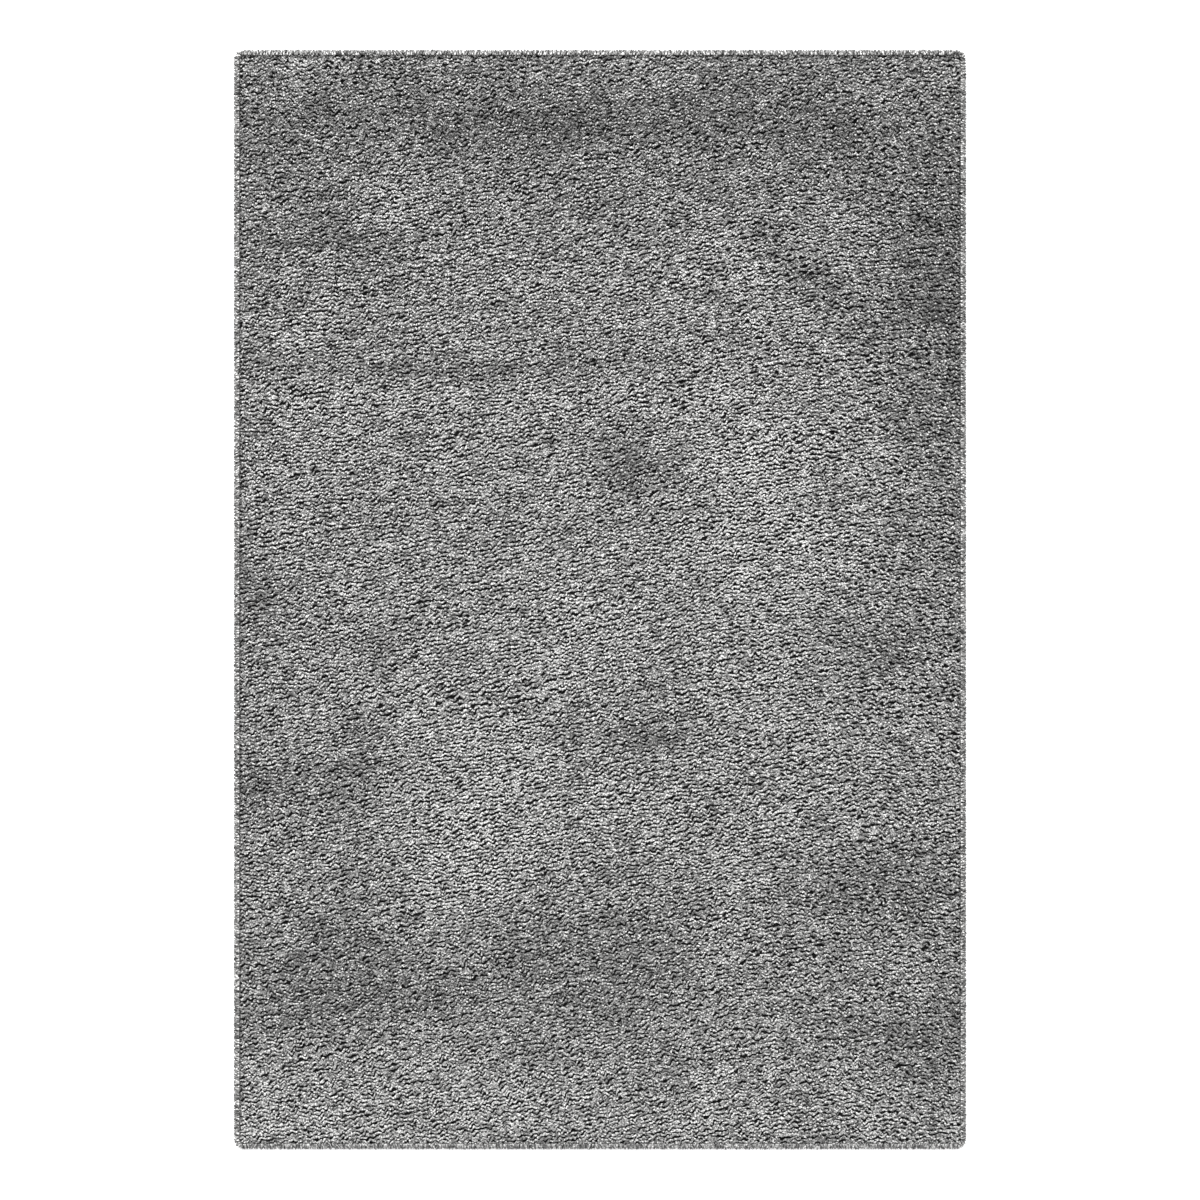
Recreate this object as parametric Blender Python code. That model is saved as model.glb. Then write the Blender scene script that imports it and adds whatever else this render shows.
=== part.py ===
"""A plain grey shag rug lying flat, in metres with +Z up.

The underside rests at z = 0 with its middle at the origin. The width runs along X and the length along Y.
The rug is one solid: a thin ground cloth at the bottom, and on it the dense pile as a lumpy slab. Locks of
pile at the rim lean out over the edge of the ground cloth and droop to the floor.
"""

import math
import random
from collections import namedtuple

import bmesh
import bpy
from mathutils import Matrix, Vector, noise
from mathutils.geometry import delaunay_2d_cdt

# Driving dimensions.
RUG_WIDTH = 1.20  # over the tips of the rim locks
RUG_LENGTH = 1.80
CORNER_RADIUS = 0.014
CLOTH_THICKNESS = 0.003
PILE_TOP = 0.030  # usual height of the brushed pile's top above the floor

# The slab's edge in section, from the floor up: how far each ring lies inside the outline, and its height.
Ring = namedtuple("Ring", "inset height")
EDGE_RINGS = (
    Ring(inset=0.0200, height=0.0),
    Ring(inset=0.0200, height=CLOTH_THICKNESS),
    Ring(inset=0.0140, height=0.0065),
    Ring(inset=0.0115, height=0.0220),
    Ring(inset=0.0220, height=0.0290),
)
CLOTH_RINGS = 2  # the first rings are the ground cloth's edge, which is cut straight
LOCK_BAND = 2  # the rim locks grow from the faces between this ring and the next
RIM_UNEVENNESS = 0.0018

# The rim locks: how many stand on each side and round each corner, and how each one tapers.
LOCKS_ON_WIDTH = 56
LOCKS_ON_LENGTH = 86
LOCKS_ON_CORNER = 3
LOCK_SPACING_JITTER = 0.18  # of the distance between two locks
LOCK_SHORTFALL = 0.0035  # most that a tip stays inside the outline
LOCK_LEAN = 0.32  # how far the tips lean along the edge, in groups, of a lock's width
LOCK_LEAN_GROUP = 6  # about how many locks lean the same way
LOCK_LEAN_JITTER = 0.04  # most that a single lock leans off its group, of its width
LOCK_TIP_LIFT = 0.0050  # most that a tip hangs above the floor
Stage = namedtuple("Stage", "out drop width height")  # shares of the way and of the width, and a size
LOCK_STAGES = (
    Stage(out=0.58, drop=0.26, width=0.82, height=0.0120),
    Stage(out=1.00, drop=1.00, width=0.46, height=0.0060),
)

# The lumps of the top.
LUMP_PITCH = 0.038
LUMP_MARGIN = 0.6  # between the last ring and the first lumps, of the pitch
LUMP_OFFSET = 0.30  # most that a lump's place is off its row, of the pitch
LUMP_RISE = 0.0045  # most that a single lump rises or sinks
WAVE_LENGTH = 0.17
WAVE_RISE = 0.0020

# Where the pile was brushed over: soft hollows and swells as ovals, by middle, half sizes and turn.
BrushMark = namedtuple("BrushMark", "x y half_x half_y turn rise")
BRUSH_MARKS = (
    BrushMark(x=0.00, y=0.77, half_x=0.56, half_y=0.05, turn=0, rise=-0.0030),
    BrushMark(x=-0.40, y=0.59, half_x=0.18, half_y=0.03, turn=0, rise=-0.0022),
    BrushMark(x=0.31, y=0.55, half_x=0.16, half_y=0.03, turn=-39, rise=-0.0022),
    BrushMark(x=0.53, y=0.52, half_x=0.05, half_y=0.16, turn=0, rise=-0.0028),
    BrushMark(x=-0.24, y=0.38, half_x=0.33, half_y=0.03, turn=0, rise=-0.0024),
    BrushMark(x=-0.24, y=0.32, half_x=0.33, half_y=0.03, turn=0, rise=0.0020),
    BrushMark(x=0.04, y=0.20, half_x=0.05, half_y=0.07, turn=0, rise=-0.0030),
    BrushMark(x=0.28, y=0.20, half_x=0.14, half_y=0.16, turn=0, rise=0.0022),
    BrushMark(x=-0.42, y=0.13, half_x=0.06, half_y=0.03, turn=0, rise=-0.0018),
    BrushMark(x=0.49, y=-0.07, half_x=0.06, half_y=0.06, turn=0, rise=-0.0022),
    BrushMark(x=0.08, y=-0.22, half_x=0.11, half_y=0.03, turn=0, rise=-0.0020),
    BrushMark(x=-0.39, y=-0.27, half_x=0.07, half_y=0.08, turn=0, rise=-0.0028),
    BrushMark(x=-0.19, y=-0.34, half_x=0.12, half_y=0.17, turn=0, rise=0.0022),
    BrushMark(x=0.43, y=-0.46, half_x=0.12, half_y=0.06, turn=0, rise=-0.0024),
    BrushMark(x=-0.44, y=-0.63, half_x=0.13, half_y=0.10, turn=0, rise=-0.0030),
    BrushMark(x=-0.05, y=-0.61, half_x=0.26, half_y=0.09, turn=0, rise=-0.0026),
    BrushMark(x=-0.27, y=-0.83, half_x=0.31, half_y=0.04, turn=0, rise=0.0018),
)

PILE_COLOUR = (0.229, 0.229, 0.223, 1.0)
PILE_ROUGHNESS = 0.95
SHARP_EDGE = math.radians(55)
SEED = 11


def clear_scene():
    for obj in list(bpy.data.objects):
        bpy.data.objects.remove(obj, do_unlink=True)


def pile_material():
    material = bpy.data.materials.new("grey_shag_pile")
    material.use_nodes = True
    shader = material.node_tree.nodes["Principled BSDF"]
    shader.inputs["Base Color"].default_value = PILE_COLOUR
    shader.inputs["Roughness"].default_value = PILE_ROUGHNESS
    shader.inputs["Metallic"].default_value = 0.0
    return material


def brushed_height(x, y):
    """The pile's height where it is brushed: long soft waves, and each brush mark's hollow or swell."""
    height = PILE_TOP + WAVE_RISE * noise.noise(Vector((x / WAVE_LENGTH, y / WAVE_LENGTH, 0.5)))
    for mark in BRUSH_MARKS:
        place = Matrix.Rotation(-math.radians(mark.turn), 2) @ Vector((x - mark.x, y - mark.y))
        distance = math.hypot(place.x / mark.half_x, place.y / mark.half_y)
        height += mark.rise * math.exp(-distance * distance)
    return height


def spacing_shifts(rng):
    """How far each column of the rim is moved along its side, as a share of a lock's width."""
    count = 2 * (LOCKS_ON_WIDTH + LOCKS_ON_LENGTH) + 4 * LOCKS_ON_CORNER
    return [rng.uniform(-LOCK_SPACING_JITTER, LOCK_SPACING_JITTER) for _ in range(count)]


def outline_loop(inset, shifts):
    """The rug's outline moved in by inset: a rounded rectangle, anticlockwise, a point for each column."""
    middle_x = RUG_WIDTH / 2 - inset - CORNER_RADIUS
    middle_y = RUG_LENGTH / 2 - inset - CORNER_RADIUS
    middles = ((middle_x, middle_y), (-middle_x, middle_y), (-middle_x, -middle_y), (middle_x, -middle_y))
    sides = (LOCKS_ON_WIDTH, LOCKS_ON_LENGTH, LOCKS_ON_WIDTH, LOCKS_ON_LENGTH)

    def on_corner(corner, turn):
        angle = math.pi / 2 * turn
        x, y = middles[corner % 4]
        return Vector((x + CORNER_RADIUS * math.cos(angle), y + CORNER_RADIUS * math.sin(angle)))

    points = []
    for corner, locks in enumerate(sides):
        for step in range(LOCKS_ON_CORNER + 1):
            points.append(on_corner(corner, corner + step / LOCKS_ON_CORNER))
        start = points[-1]
        end = on_corner(corner + 1, corner + 1)
        for step in range(1, locks):
            points.append(start.lerp(end, (step + shifts[len(points)]) / locks))
    return points


def add_ring(bm, ring, shifts, unevenness, rng):
    """The points of one ring of the edge, each in or out, up or down, by up to unevenness."""
    points = outline_loop(ring.inset, shifts)
    verts = []
    for number, point in enumerate(points):
        along = (points[(number + 1) % len(points)] - points[number - 1]).normalized()
        out = rng.uniform(-unevenness, unevenness)
        height = ring.height + rng.uniform(-unevenness, unevenness)
        verts.append(bm.verts.new((point.x + along.y * out, point.y - along.x * out, height)))
    return verts


def add_band(bm, lower, upper):
    """The faces between two rings, all facing out."""
    count = len(lower)
    faces = []
    for i in range(count):
        j = (i + 1) % count
        faces.append(bm.faces.new((lower[i], lower[j], upper[j], upper[i])))
    return faces


def lump_places(rng):
    """The places of the lumps inside the last ring: staggered rows, each lump a little off its row."""
    margin = EDGE_RINGS[-1].inset + LUMP_MARGIN * LUMP_PITCH
    half_x = RUG_WIDTH / 2 - margin
    half_y = RUG_LENGTH / 2 - margin
    columns = round(2 * half_x / LUMP_PITCH)
    rows = round(2 * half_y / (LUMP_PITCH * math.sqrt(3) / 2))
    places = []
    for row in range(rows + 1):
        stagger = 0.25 if row % 2 else -0.25
        for column in range(columns + 1):
            x = ((column + stagger) / columns * 2 - 1) * half_x
            y = (row / rows * 2 - 1) * half_y
            x += rng.uniform(-LUMP_OFFSET, LUMP_OFFSET) * LUMP_PITCH
            y += rng.uniform(-LUMP_OFFSET, LUMP_OFFSET) * LUMP_PITCH
            places.append(Vector((max(-half_x, min(half_x, x)), max(-half_y, min(half_y, y)))))
    return places


def add_top(bm, border, rng):
    """The lumpy top: a triangle mesh between the lumps and the edge's last ring."""
    verts = list(border)
    for place in lump_places(rng):
        height = brushed_height(place.x, place.y) + rng.uniform(-LUMP_RISE, LUMP_RISE)
        verts.append(bm.verts.new((place.x, place.y, height)))
    flat = [vert.co.to_2d() for vert in verts]
    border_edges = [(i, (i + 1) % len(border)) for i in range(len(border))]
    _, _, triangles, sources, _, _ = delaunay_2d_cdt(flat, border_edges, [], 1, 1e-6)
    for triangle in triangles:
        bm.faces.new([verts[sources[corner][0]] for corner in triangle])


def share_often_zero(rng):
    """A random share up to 1, and none at all one time in three."""
    return max(0.0, rng.uniform(-0.5, 1.0))


def grow_lock(bm, root, before, after, lean, rng):
    """Draws one rim face out into a tapered lock, whose tip lies level near the floor at the outline.

    before and after are the outline's two points in front of the root. lean is how far the tip is drawn
    along the edge, as a share of the lock's width.
    """
    along = (after - before).normalized().to_3d()
    outward = Vector((along.y, -along.x, 0))
    start = root.calc_center_median()
    end = before.lerp(after, 0.5 + lean).to_3d()
    end -= outward * LOCK_SHORTFALL * share_often_zero(rng)
    end.z = LOCK_STAGES[-1].height / 2 + LOCK_TIP_LIFT * share_often_zero(rng)
    face = root
    for stage in LOCK_STAGES:
        last_middle = face.calc_center_median()
        middle = start.lerp(end, stage.out)
        middle.z = start.z + (end.z - start.z) * stage.drop
        half_width = stage.width * (after - before).length / 2
        face = bmesh.ops.extrude_discrete_faces(bm, faces=[face])["faces"][0]
        for vert in face.verts:
            offset = vert.co - last_middle
            vert.co = middle + along * math.copysign(half_width, offset.dot(along))
            vert.co.z += math.copysign(stage.height / 2, offset.z)


def make_rug():
    rng = random.Random(SEED)
    bm = bmesh.new()
    shifts = spacing_shifts(rng)
    rings = []
    for number, ring in enumerate(EDGE_RINGS):
        unevenness = 0.0 if number < CLOTH_RINGS else RIM_UNEVENNESS
        rings.append(add_ring(bm, ring, shifts, unevenness, rng))
    bm.faces.new(reversed(rings[0]))
    bands = [add_band(bm, lower, upper) for lower, upper in zip(rings, rings[1:])]
    add_top(bm, rings[-1], rng)
    outline = outline_loop(0.0, shifts)
    for number, root in enumerate(bands[LOCK_BAND]):
        lean = LOCK_LEAN * noise.noise(Vector((number / LOCK_LEAN_GROUP, 0.5, 0.5)))
        lean += rng.uniform(-LOCK_LEAN_JITTER, LOCK_LEAN_JITTER)
        grow_lock(bm, root, outline[number], outline[(number + 1) % len(outline)], lean, rng)
    bmesh.ops.recalc_face_normals(bm, faces=bm.faces)
    mesh = bpy.data.meshes.new("rug")
    bm.to_mesh(mesh)
    bm.free()
    mesh.shade_smooth()
    mesh.set_sharp_from_angle(angle=SHARP_EDGE)
    mesh.materials.append(pile_material())
    rug = bpy.data.objects.new("rug", mesh)
    bpy.context.scene.collection.objects.link(rug)
    return rug


clear_scene()
make_rug()
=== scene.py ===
"""The looks of a plain grey shag rug: its pile, its ground cloth, the floor and the light.

The pile is a dense lower body with many single leaning locks on it. Lengths are in metres in the
CAD frame: X along the rug's width, Y along its length, Z up from the floor.
"""

import math

import bpy
import numpy as np
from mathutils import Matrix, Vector
from mathutils.bvhtree import BVHTree


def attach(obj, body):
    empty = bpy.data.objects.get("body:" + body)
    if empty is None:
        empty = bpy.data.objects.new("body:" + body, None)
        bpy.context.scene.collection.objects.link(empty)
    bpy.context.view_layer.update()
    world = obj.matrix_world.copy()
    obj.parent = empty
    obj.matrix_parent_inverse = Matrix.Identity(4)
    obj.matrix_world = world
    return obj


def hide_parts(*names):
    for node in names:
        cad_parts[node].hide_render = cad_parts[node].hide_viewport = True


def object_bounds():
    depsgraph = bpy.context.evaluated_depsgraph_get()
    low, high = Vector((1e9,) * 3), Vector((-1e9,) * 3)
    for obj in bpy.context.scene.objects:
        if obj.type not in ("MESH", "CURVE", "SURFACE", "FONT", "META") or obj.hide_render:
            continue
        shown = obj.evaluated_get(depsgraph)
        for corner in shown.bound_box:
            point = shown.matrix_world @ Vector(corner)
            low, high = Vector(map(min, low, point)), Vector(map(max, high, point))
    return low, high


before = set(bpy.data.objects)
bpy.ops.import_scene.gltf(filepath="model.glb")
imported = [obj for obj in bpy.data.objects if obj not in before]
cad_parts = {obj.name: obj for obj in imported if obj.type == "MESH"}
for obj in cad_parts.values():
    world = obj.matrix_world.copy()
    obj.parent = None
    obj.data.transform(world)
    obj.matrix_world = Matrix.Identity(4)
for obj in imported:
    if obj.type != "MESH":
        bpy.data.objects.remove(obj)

CAD_LOW, CAD_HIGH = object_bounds()
HALF = np.array([CAD_HIGH.x, CAD_HIGH.y])  # half the rug's width and length
SEED = 5  # of the locks' places, shapes and shades

# ---- The pile's build ----------------------------------------------------------------------------

CORNER_RADIUS = 0.018
CLOTH_THICKNESS = 0.003
CLOTH_INSET = 0.020  # of the ground cloth's edge from the outline
CLOTH_CORNER_STEPS = 8
CLOTH_EDGE = 0.0007  # the radius of its softened edges
CLOTH_EDGE_STEPS = 2
PILE_GAP = 0.0003  # between the ground cloth and what stands on it
TOP_INSET = 0.0145  # the CAD's top is read this far inside the outline
TOP_SAMPLES = (121, 181)  # along X and Y
BASE_INSET = 0.0050  # of the dense lower pile's edge from the outline
BASE_EDGE_HEIGHT = 0.0200
BASE_WALL = (
    # inset and height of each ring below that edge
    (0.0040, 0.0150),
    (0.0060, 0.0085),
    (0.0205, CLOTH_THICKNESS + PILE_GAP),
)
SHOULDER = 0.0100  # how much lower the pile's top is at the outline
SPLAY_REACH = 0.012  # over what length inside the outline the locks turn to lean out
SPLAY_START = 1.2  # how far inside it they start to, in such lengths
BASE_DEPTH = 0.0046  # of the dense lower pile under the pile's top
BASE_CELL = 0.0075  # of its mesh

TUFT_PITCH = (0.0134, 0.0069)  # along and across the rows of tufts
TUFT_LOCKS = 6
TUFT_SHIFT = 0.618  # how far each row is moved on from the last, of a pitch: no columns show
ROW_WAVES = 9  # short waves that make the rows curl
ROW_WAVE_LENGTHS = (0.010, 0.033)
ROW_WAVE_TURNS = (-0.1, 0.9)  # of the directions they run in from +X, in radians
ROW_WAVE_MIRROR = 0.1  # the direction that the mirrored ones are mirrored in
MIRROR_LIE = 15  # mirrored waves set in where the yarn lies lower than this, in degrees
MIRROR_TURN = 35  # and all are mirrored where it lies so many degrees lower still
ROW_WAVE = 0.095  # of one wave, in rows
ROW_SWAY = (0.0050, 0.07)  # how far the rows sway more slowly, and over what length
CALM_WAVE = 0.25  # how much larger the waves are where the rows stand out least
CALM_TOP = (0.70, 0.10)  # where the rows grow calm towards a short side, and over what length
CALM_BOTTOM = (-0.52, 0.12)
CALM_DARK = 0.5  # how calm they are in the darkest patches
STRIPS = 5  # pieces that the top's locks are joined into
RIPPLE_SIZE = (0.045, 0.013)  # along and across the rows
RIPPLE_HEIGHT = 0.0016
LOCK_LENGTH = (0.0042, 0.0066)  # of one that stands up and of one that lies flat
LOCK_WIDTH = 0.0031
LOCK_SPREAD = 0.44  # of a tuft's locks across their row, in rows
LOCK_DOME = 0.0010  # how much lower the outer locks of a row are
LOCK_BEND_DEPTH = 0.0020  # of a lock's bend under the pile's top
LOCK_ROOT_DEPTH = 0.0052  # of its root under its bend
LOCK_TIP_DEPTH = 0.0006  # of a flat lock's tip under its bend
LOCK_STAND = 0.0026  # how much higher the tip of one that stands up is
LOCK_STRAY = 0.0008  # of its bend's and its tip's height
LOCK_BEND_SWAY = 0.0006  # of its bend to one side
LOCK_BACK = 0.55  # how far behind its place its root is, of its length
LOCK_LOW_HALF = 0.50  # how much of its length is below its bend
SPLAY_LOW_HALF = 0.30  # how much less that is at the outline
SPLAY_DROP = 0.0025  # how much lower the tips are there
TIP_LIMIT = 0.0006  # most that a tip is past the outline
LOCK_TURN = 0.35  # how much a lock strays from its tuft's direction, in radians
LOCK_CURL = 0.45  # how much its tip strays from its own
LIE_SWAY = (0.25, 0.03)  # how much the yarn's direction sways, in radians, and over what length
TUFT_TURN = 0.14  # how much a tuft strays from it
BACKWARD_TUFTS = 0.25  # the share of tufts that lie the other way
FLATNESS = 0.62  # how flat the pile lies, from 0 to 1
LIGHT_FLATNESS = 0.34  # how much flatter in a light patch
FLATNESS_STRAY = 0.04  # of a tuft
LEAST_FLATNESS = 0.08
TUFT_LIFT = 0.0003  # how much higher or lower a whole tuft is
PILE_SHADE = 0.48  # of a lock, from 0 for dark to 1 for pale
TONE_PAINTED_SHADING = 0.29  # painted light and shade: how much paler the locks' colour is in a light patch, and darker in a dark one
LOCK_SHADE = 0.24  # how much one lock's shade strays
STREAK_SIZE = (0.035, 0.0065)  # of the paler and darker streaks along the rows
STREAK_SHADE = 0.12  # how much paler or darker they are
EDGE_LOCK_PAINTED_LIGHT = 0.35  # painted light: how much paler the colour of the locks that lean out at the edge is, against the shade on the sloping edge
EDGE_BASE_PAINTED_LIGHT = 1.6  # and the lower pile there, also painted light
FIELD_INSET = 0.0038  # of the outermost tufts' roots from the outline

CORNER_BLEND = 0.008  # how near both sides a place is where its outward direction slants
LEAST_RADIUS = 0.003  # of the corners of the rim's rows
RIM_SPACING = 0.0034  # between the rim locks of one row
RIM_SIZE = (0.0034, 0.0028)  # a rim lock's width and thickness
RIM_ROOT_BACK = 0.0015  # how far behind its place its root is
RIM_BEND = 0.25  # how far out its bend is, of its reach
RIM_BEND_RISE = 0.0006  # how much higher its bend is than a straight lock's
RIM_TIP_SWAY = 0.0022  # of one tip along the edge
RIM_SWAY = (0.0030, 0.03)  # of many tips together, and over what length
RIM_HEIGHT_STRAY = 0.0012
RIM_SHORTFALL = 0.0016  # most that a tip falls short
RIM_FLOOR = (0.0022, 0.0008)  # the lowest that a bend and a tip may be
FAR_RIM_PAINTED_SHADE = 0.08  # painted shade: how much darker the rim's colour is on the far side, where the light comes from, against its light there
RIM_ROWS = (
    # inset of the roots, height of the roots, reach of the tips, drop of the tips, shade, which is
    # painted shade: mostly darker than the top's locks, and darker lower down
    (0.0150, 0.0062, 0.0152, 0.0045, 0.20),
    (0.0085, 0.0100, 0.0089, 0.0045, 0.20),
    (0.0070, 0.0138, 0.0077, 0.0045, 0.20),
    (0.0068, 0.0176, 0.0074, 0.0045, 0.22),
    (0.0078, 0.0212, 0.0080, 0.0045, 0.26),
    (0.0098, 0.0246, 0.0086, 0.0045, 0.38),
    (0.0125, 0.0275, 0.0085, 0.0045, 0.50),
)

# Read from the photo, in degrees anticlockwise from +X at each x: the rows of tufts, and the way
# that the yarn lies, which was brushed another way in a band along the top edge.
ROW_ANGLES = ((-0.60, 8), (-0.20, 10), (0.15, 12), (0.35, 7), (0.60, 2))
YARN_ANGLES = (
    (-0.60, 27), (-0.05, 27), (0.06, 20), (0.14, 15),
    (0.26, 5), (0.36, -6), (0.46, -13), (0.60, -24),
)
BAND_ANGLES = ((-0.60, -14), (-0.38, -8), (-0.20, 18), (0.00, 8), (0.25, 24), (0.60, 24))
TOP_BAND = 0.765  # the band starts about this y
BAND_EDGE = 0.02

TONE_WANDER = (0.012, 0.05)  # how far the edges of the brushed patches wander, and over what length
TONE_CLOUDS = ((0.16, 0.14), (0.15, 0.05))  # how strong the soft clouds of tone are, and how large

# Where the pile was brushed over. A light patch lies flat, and a dark one stands up or leans away;
# its tone also makes the colour paler or darker, which is painted light and shade.
BRUSHED = (
    # x, y, half_x, half_y, turn, tone
    (0.00, 0.82, 1.20, 0.22, 0, -0.30),
    (0.62, 0.32, 0.13, 0.55, 0, -0.40),
    (-0.62, -0.05, 0.10, 0.95, 0, -0.15),
    (0.00, -0.62, 1.20, 0.14, 0, -0.25),
    (0.02, 0.10, 0.45, 0.45, 0, 0.12),
    (0.00, -0.88, 1.20, 0.06, 0, 0.15),
    (0.00, 0.775, 0.60, 0.05, 0, -0.35),
    (-0.255, 0.77, 0.115, 0.035, 0, -0.12),
    (0.085, 0.77, 0.115, 0.035, 0, -0.12),
    (0.44, 0.77, 0.06, 0.035, 0, -0.20),
    (-0.40, 0.59, 0.18, 0.018, 0, -0.45),
    (-0.245, 0.378, 0.33, 0.015, 0, -0.60),
    (-0.245, 0.325, 0.33, 0.022, 0, 0.45),
    (0.045, 0.205, 0.05, 0.075, 0, -0.70),
    (-0.12, 0.445, 0.03, 0.03, 0, -0.35),
    (-0.06, 0.086, 0.025, 0.022, 0, -0.40),
    (0.54, 0.53, 0.07, 0.16, 0, -0.50),
    (0.49, 0.28, 0.05, 0.06, 0, -0.40),
    (0.39, 0.17, 0.05, 0.05, 0, -0.50),
    (0.312, 0.555, 0.16, 0.022, -39, -0.40),
    (0.263, 0.515, 0.12, 0.022, -39, 0.35),
    (-0.56, 0.03, 0.06, 0.06, 0, -0.45),
    (-0.416, 0.132, 0.055, 0.02, 0, -0.40),
    (-0.40, -0.27, 0.07, 0.10, 0, -0.60),
    (-0.53, -0.30, 0.09, 0.04, 0, -0.40),
    (-0.042, -0.276, 0.018, 0.10, 0, -0.50),
    (0.083, -0.223, 0.11, 0.018, 0, -0.50),
    (0.48, -0.09, 0.08, 0.08, 0, -0.50),
    (0.434, -0.459, 0.115, 0.063, 0, -0.50),
    (-0.445, -0.631, 0.15, 0.11, 0, -0.35),
    (-0.055, -0.613, 0.26, 0.09, 0, -0.20),
    (0.50, -0.72, 0.12, 0.05, 0, -0.35),
    (0.279, 0.20, 0.13, 0.16, 0, 0.50),
    (-0.197, -0.331, 0.115, 0.166, 0, 0.50),
    (-0.491, 0.212, 0.06, 0.05, 0, 0.30),
    (-0.163, -0.459, 0.06, 0.045, 0, 0.35),
    (0.263, 0.552, 0.05, 0.04, 0, 0.30),
    (0.00, -0.826, 0.30, 0.05, 0, 0.10),
    (0.30, 0.69, 0.30, 0.08, 0, -0.20),
    (0.38, -0.86, 0.30, 0.07, 0, -0.20),
    (0.60, -0.70, 0.10, 0.15, 0, -0.20),
)


def smooth_field(seed, cell, x, y):
    """Soft random hills from -1 to 1, about a cell wide, at the places x, y."""
    u = (np.asarray(x) + HALF[0] + cell) / cell
    v = (np.asarray(y) + HALF[1] + cell) / cell
    count = np.ceil(2 * (HALF + 2 * cell) / cell).astype(int) + 2
    lattice = np.random.default_rng(seed).uniform(-1, 1, (count[1], count[0]))
    i, j = np.floor(u).astype(int), np.floor(v).astype(int)
    i, j = i.clip(0, count[0] - 2), j.clip(0, count[1] - 2)
    s, t = (u - i).clip(0, 1), (v - j).clip(0, 1)
    s, t = s * s * (3 - 2 * s), t * t * (3 - 2 * t)
    low = lattice[j, i] * (1 - s) + lattice[j, i + 1] * s
    high = lattice[j + 1, i] * (1 - s) + lattice[j + 1, i + 1] * s
    return low * (1 - t) + high * t


def line_rise(x, angles):
    """How far a line that follows these angles rises from x = 0 to x."""
    steps = np.linspace(-HALF[0], HALF[0], 241)
    slope = np.tan(np.radians(np.interp(steps, *np.transpose(angles))))
    rise = np.concatenate([[0.0], np.cumsum((slope[1:] + slope[:-1]) / 2 * np.diff(steps))])
    return np.interp(x, steps, rise - rise[len(steps) // 2])


def yarn_lie(x, y):
    """Which way the brushed yarn lies at a place, in degrees from +X."""
    main, band = (np.interp(x, *np.transpose(angles)) for angles in (YARN_ANGLES, BAND_ANGLES))
    return main + (band - main) * ((y - TOP_BAND) / BAND_EDGE + 0.5).clip(0, 1)


def row_waves(mirrored):
    """The short waves of the rows: their directions times wave numbers, and their phases."""
    rng = np.random.default_rng(44 + mirrored)
    turns = 2 * math.pi / np.geomspace(*ROW_WAVE_LENGTHS, ROW_WAVES)
    ways = rng.permutation(np.linspace(*ROW_WAVE_TURNS, ROW_WAVES))
    ways = 2 * ROW_WAVE_MIRROR - ways if mirrored else ways
    phases = rng.uniform(0, 2 * math.pi, ROW_WAVES)
    return list(zip(turns * np.cos(ways), turns * np.sin(ways), phases))


def mirrored_share(x, y):
    """How much of the rows' waves is mirrored at a place, from 0 to 1."""
    return ((MIRROR_LIE - yarn_lie(x, y)) / MIRROR_TURN).clip(0, 1)


def calm(x, y):
    """How little the rows stand out at a place, from 0 to 1, which is along the short sides."""
    far = ((y - CALM_TOP[0]) / CALM_TOP[1]).clip(0, 1)
    near = ((CALM_BOTTOM[0] - y) / CALM_BOTTOM[1]).clip(0, 1)
    dark = CALM_DARK * (-brushed_tone(x, y)).clip(0, 1)
    return (far + near + dark).clip(0, 1)


def smooth_row(x, y):
    """Which row of tufts a place is in, before the short waves."""
    sway = ROW_SWAY[0] * smooth_field(42, ROW_SWAY[1], x, y)
    return (y - line_rise(x, ROW_ANGLES) - sway) / TUFT_PITCH[1]


def row_number(x, y):
    """Which row of tufts a place is in: whole in the middle of a row, a half between two."""
    row = smooth_row(x, y)
    share = mirrored_share(x, y)
    whole = ROW_WAVE * (1 + CALM_WAVE * calm(x, y))
    for mirrored in (0, 1):
        size = whole * np.sqrt(share if mirrored else 1 - share)
        for turn_x, turn_y, phase in row_waves(mirrored):
            row = row + size * np.sin(turn_x * x + turn_y * y + phase)
    return row


def streaks(seed, size, x, y):
    """Soft random hills from -1 to 1 with this size along and across the rows."""
    return smooth_field(seed, size[1], x * size[1] / size[0], y - line_rise(x, ROW_ANGLES))


def ripple(x, y):
    """How far the pile rises or sinks in long low waves along its rows."""
    return RIPPLE_HEIGHT * streaks(31, RIPPLE_SIZE, x, y)


def brushed_tone(x, y):
    """How light the brushed pile looks, from -1 to 1: the table's patches, with wandering edges."""
    x = x + TONE_WANDER[0] * smooth_field(21, TONE_WANDER[1], x, y)
    y = y + TONE_WANDER[0] * smooth_field(22, TONE_WANDER[1], x, y)
    tone = np.zeros_like(x)
    for at_x, at_y, half_x, half_y, turn, value in BRUSHED:
        cos, sin = math.cos(math.radians(turn)), math.sin(math.radians(turn))
        u = ((x - at_x) * cos + (y - at_y) * sin) / half_x
        v = ((y - at_y) * cos - (x - at_x) * sin) / half_y
        tone += value * np.exp(-(u * u + v * v))
    (broad, broad_size), (fine, fine_size) = TONE_CLOUDS
    tone += broad * smooth_field(23, broad_size, x, y) + fine * smooth_field(24, fine_size, x, y)
    return tone.clip(-1, 1)


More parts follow.
